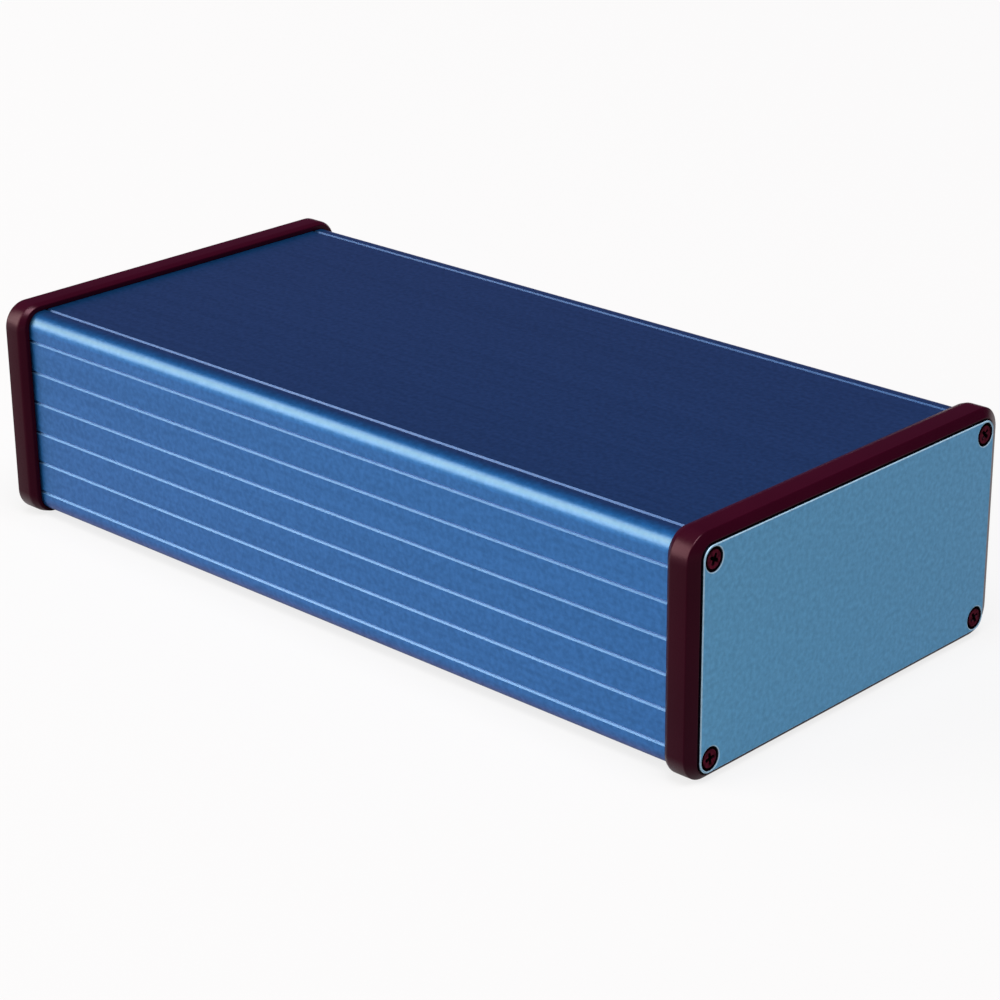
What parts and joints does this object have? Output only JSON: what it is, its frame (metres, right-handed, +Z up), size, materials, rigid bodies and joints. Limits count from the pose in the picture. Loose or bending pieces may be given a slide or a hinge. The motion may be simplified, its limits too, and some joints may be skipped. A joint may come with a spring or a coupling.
{
  "type": "extruded aluminium enclosure",
  "caption": "Long rectangular case: grooved aluminium channel with a slide-in cover, moulded bezels and screwed flat end panels.",
  "frame": {"origin": "middle of the case's outline on the plane that the two bezels rest on", "axes": "+X along the case to one end panel, +Y across it, +Z up out of the slide-in cover"},
  "size_m": [0.226, 0.1082, 0.0558],
  "materials": {
    "body_anodised": "fine satin, blue anodised",
    "panel_anodised": "satin, pale blue anodised",
    "bezel_plastic": "satin moulded, very dark maroon",
    "screw_black": "dark coated steel"
  },
  "bodies": {
    "root": {"body_extrusion": "body_anodised", "slide_cover": "body_anodised", "left_bezel": "bezel_plastic", "right_bezel": "bezel_plastic", "left_end_panel": "panel_anodised", "right_end_panel": "panel_anodised", "screw_left_near_lower": "screw_black", "screw_left_near_upper": "screw_black", "screw_left_far_lower": "screw_black", "screw_left_far_upper": "screw_black", "screw_right_near_lower": "screw_black", "screw_right_near_upper": "screw_black", "screw_right_far_lower": "screw_black", "screw_right_far_upper": "screw_black"}
  },
  "joints": []
}
